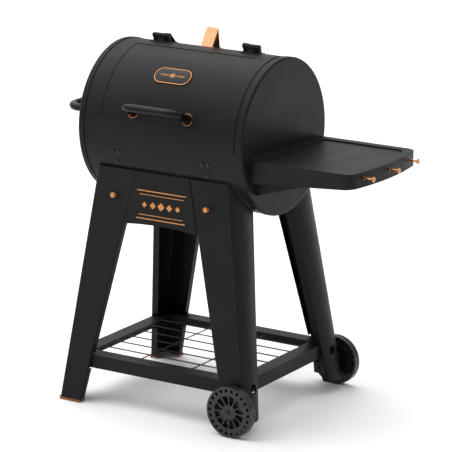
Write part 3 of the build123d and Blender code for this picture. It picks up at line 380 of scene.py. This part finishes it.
# ---------------------------------------------------------------- badge on the lid
barrel_low, barrel_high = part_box("barrel_shell")
badge_low, badge_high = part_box("badge_plate")
BARREL_X = (barrel_low.x + barrel_high.x) / 2
BARREL_Z = (barrel_low.z + barrel_high.z) / 2
BADGE_HALF = (badge_high.x - badge_low.x) / 2
BADGE_RISE = 26.5 * MM           # half its height, measured round the barrel
BADGE_CORNER = 25.0 * MM
BADGE_FLOOR = 248.5 * MM         # distance of the plate's back from the barrel's axis
DOME_EDGE = 1.9 * MM
DOME_RISE = 2.6 * MM
BADGE_TURN = math.radians(48.4)  # where the badge's middle is, up from the front horizontal
PLATE_BACK = 0.1 * MM            # lift of the dome's flat back over the badge's floor
DOME_RINGS = 12
INLAY_ROOT = -0.3 * MM           # the inlay starts under the dome's surface
INLAY_TOP = 0.35 * MM
LOZENGE_RING = ((12 * MM, 9 * MM), (9.4 * MM, 7.1 * MM))
LOZENGE_MIDDLE = (5.0 * MM, 3.7 * MM)
LINE_NEAR = 15 * MM              # the side lines' ends, from the badge's middle
LINE_FAR = 44 * MM
LINE_LEVELS = (-2.4 * MM, 1.5 * MM)
LINE_WIDTH = 0.9 * MM


def outline(half, rise, corner, steps=14):
    """Points round a rounded rectangle."""
    points = []
    for quarter, (sx, sy) in enumerate(((1, 1), (-1, 1), (-1, -1), (1, -1))):
        for step in range(steps + 1):
            turn = math.pi / 2 * (quarter + step / steps)
            x = sx * (half - corner) + corner * math.cos(turn)
            y = sy * (rise - corner) + corner * math.sin(turn)
            points.append((x, y))
    return points


def dome(u, v):
    """Height of the domed plate over its edge."""
    across = max(0.0, 1 - (u / BADGE_HALF) ** 4)
    along = max(0.0, 1 - (v / BADGE_RISE) ** 2)
    return DOME_RISE * math.sqrt(across * along)


def on_badge(u, v, lift):
    """A place on the badge, u along the barrel, v up round it, lift outwards."""
    radius = BADGE_FLOOR + lift
    turn = BADGE_TURN + v / BADGE_FLOOR
    return Vector((BARREL_X + u, -radius * math.cos(turn), BARREL_Z + radius * math.sin(turn)))


def mesh_piece(name, points, faces, material, smooth=True):
    """A new object of these points and faces, its normals outwards."""
    mesh = bpy.data.meshes.new(name)
    mesh.from_pydata([tuple(p) for p in points], [], faces)
    build = bmesh.new()
    build.from_mesh(mesh)
    bmesh.ops.recalc_face_normals(build, faces=build.faces)
    build.to_mesh(mesh)
    build.free()
    for polygon in mesh.polygons:
        polygon.use_smooth = smooth
    piece = bpy.data.objects.new(name, mesh)
    bpy.context.scene.collection.objects.link(piece)
    mesh.materials.append(material)
    return piece


def badge_dome(material):
    """A domed plate: rings of points shrinking towards the badge's middle line."""
    edge = outline(BADGE_HALF, BADGE_RISE, BADGE_CORNER)
    reach = BADGE_HALF - BADGE_RISE
    count = len(edge)
    points = [on_badge(u, v, PLATE_BACK) for u, v in edge]
    for ring in range(DOME_RINGS):
        keep = math.cos(math.pi / 2 * ring / DOME_RINGS)
        for u, v in edge:
            core = max(-reach, min(reach, u))
            flat_u, flat_v = core + keep * (u - core), keep * v
            points.append(on_badge(flat_u, flat_v, DOME_EDGE + dome(flat_u, flat_v)))
    faces = [tuple(reversed(range(count)))]
    for ring in range(DOME_RINGS):
        for index in range(count):
            after = (index + 1) % count
            low, high = ring * count, (ring + 1) * count
            faces.append((low + index, low + after, high + after, high + index))
    faces.append(tuple(DOME_RINGS * count + index for index in range(count)))
    piece = mesh_piece("badge_dome", points, faces, material)
    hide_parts("badge_plate")
    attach(piece, "lid")


def raised_shape(name, loops, material):
    """Thin raised ornaments on the dome, each a ring between two loops, or one filled loop."""
    points = []
    faces = []
    for outer, inner in loops:
        first = len(points)
        count = len(outer)
        rows = [(outer, INLAY_ROOT), (outer, INLAY_TOP)]
        if inner:
            rows += [(inner, INLAY_TOP), (inner, INLAY_ROOT)]
        for row, lift in rows:
            points += [on_badge(u, v, DOME_EDGE + dome(u, v) + lift) for u, v in row]
        for row in range(len(rows)):
            below = first + row * count
            above = first + (row + 1) % len(rows) * count
            if inner or row == 0:
                for index in range(count):
                    after = (index + 1) % count
                    faces.append((below + index, below + after, above + after, above + index))
        if not inner:
            faces.append(tuple(range(first + count, first + 2 * count)))
            faces.append(tuple(reversed(range(first, first + count))))
    piece = mesh_piece(name, points, faces, material, smooth=False)
    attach(piece, "lid")


def lozenge(half, rise):
    """The four corners of a lozenge at the badge's middle."""
    return [(half, 0.0), (0.0, rise), (-half, 0.0), (0.0, -rise)]


def fine_line(low_u, high_u, v):
    """A thin stroke along the badge."""
    return [(high_u, v), (high_u, v + LINE_WIDTH), (low_u, v + LINE_WIDTH), (low_u, v)]


def badge_inlay(material):
    """A lozenge in a lozenge ring, with a pair of fine lines on each side of it."""
    outer, inner = LOZENGE_RING
    loops = [(lozenge(*outer), lozenge(*inner)), (lozenge(*LOZENGE_MIDDLE), None)]
    for side in (-1, 1):
        low_u, high_u = sorted((side * LINE_NEAR, side * LINE_FAR))
        for v in LINE_LEVELS:
            loops.append((fine_line(low_u, high_u, v), None))
    raised_shape("badge_inlay", loops, material)


# ---------------------------------------------------------------- stage, light and camera
def make_floor():
    """A wide flat floor just under the feet."""
    mesh = bpy.data.meshes.new("floor")
    build = bmesh.new()
    bmesh.ops.create_grid(build, x_segments=1, y_segments=1, size=FLOOR_SIZE / 2)
    build.to_mesh(mesh)
    build.free()
    floor = bpy.data.objects.new("floor", mesh)
    bpy.context.scene.collection.objects.link(floor)
    floor.location.z = cad_low.z - FLOOR_DROP
    mesh.materials.append(pale_floor("pale_floor"))


def make_world(direction, dim, bright):
    """A white studio all round, brightest towards one direction, and plain white to look at."""
    world = bpy.data.worlds.new("studio")
    world.use_nodes = True
    tree = world.node_tree
    background = tree.nodes["Background"]
    background.inputs["Color"].default_value = WHITE
    around = tree.nodes.new("ShaderNodeTexCoord").outputs["Generated"]
    dot = tree.nodes.new("ShaderNodeVectorMath")
    dot.operation = "DOT_PRODUCT"
    dot.inputs[1].default_value = Vector(direction).normalized()
    ramp = tree.nodes.new("ShaderNodeMapRange")
    set_range(ramp, -1.0, 1.0, dim, bright)
    tree.links.new(around, dot.inputs[0])
    tree.links.new(dot.outputs["Value"], ramp.inputs["Value"])
    look = tree.nodes.new("ShaderNodeMix")
    look.data_type = "FLOAT"
    look.inputs["B"].default_value = 1.0
    seen = tree.nodes.new("ShaderNodeLightPath").outputs["Is Camera Ray"]
    tree.links.new(seen, look.inputs["Factor"])
    tree.links.new(ramp.outputs["Result"], look.inputs["A"])
    tree.links.new(look.outputs["Result"], background.inputs["Strength"])
    bpy.context.scene.world = world


def add_sun(name, direction, strength, angle):
    """A broad distant light that shines from a direction."""
    data = bpy.data.lights.new(name, "SUN")
    data.energy = strength
    data.angle = math.radians(angle)
    lamp = bpy.data.objects.new(name, data)
    lamp.rotation_mode = "QUATERNION"
    lamp.rotation_quaternion = Vector(direction).to_track_quat("Z", "Y")
    bpy.context.scene.collection.objects.link(lamp)


def add_softbox(name, place, target, size, power):
    """A rectangular lamp that faces its target."""
    data = bpy.data.lights.new(name, "AREA")
    data.shape = "RECTANGLE"
    data.size, data.size_y = size
    data.energy = power
    lamp = bpy.data.objects.new(name, data)
    lamp.location = place
    lamp.rotation_mode = "QUATERNION"
    lamp.rotation_quaternion = (Vector(place) - Vector(target)).to_track_quat("Z", "Y")
    bpy.context.scene.collection.objects.link(lamp)


def make_lights():
    middle = (cad_low + cad_high) / 2
    make_world(SKY_BRIGHTEST, dim=0.12, bright=0.95)
    add_sun("overhead", SUN_FROM, strength=2.45, angle=80.0)
    add_softbox("left_box", SOFTBOX_PLACE, middle, SOFTBOX_SIZE, power=10.0)


def make_camera():
    """A long lens in front of the grill, to its right and a little above it."""
    data = bpy.data.cameras.new("camera")
    data.sensor_width = CAMERA_SENSOR
    data.lens = CAMERA_LENS
    data.clip_end = 200.0
    camera = bpy.data.objects.new("camera", data)
    camera.location = (BARREL_X + CAMERA_RIGHT, CAMERA_Y, CAMERA_Z)
    camera.rotation_euler = (math.radians(CAMERA_TILT), 0.0, math.radians(CAMERA_TURN))
    bpy.context.scene.collection.objects.link(camera)
    bpy.context.scene.camera = camera


materials = make_materials()
dress_cad(materials)
badge_dome(materials["badge_black"])
badge_inlay(materials["polished_copper"])
make_floor()
make_lights()
make_camera()
bpy.context.scene.view_settings.view_transform = "Standard"
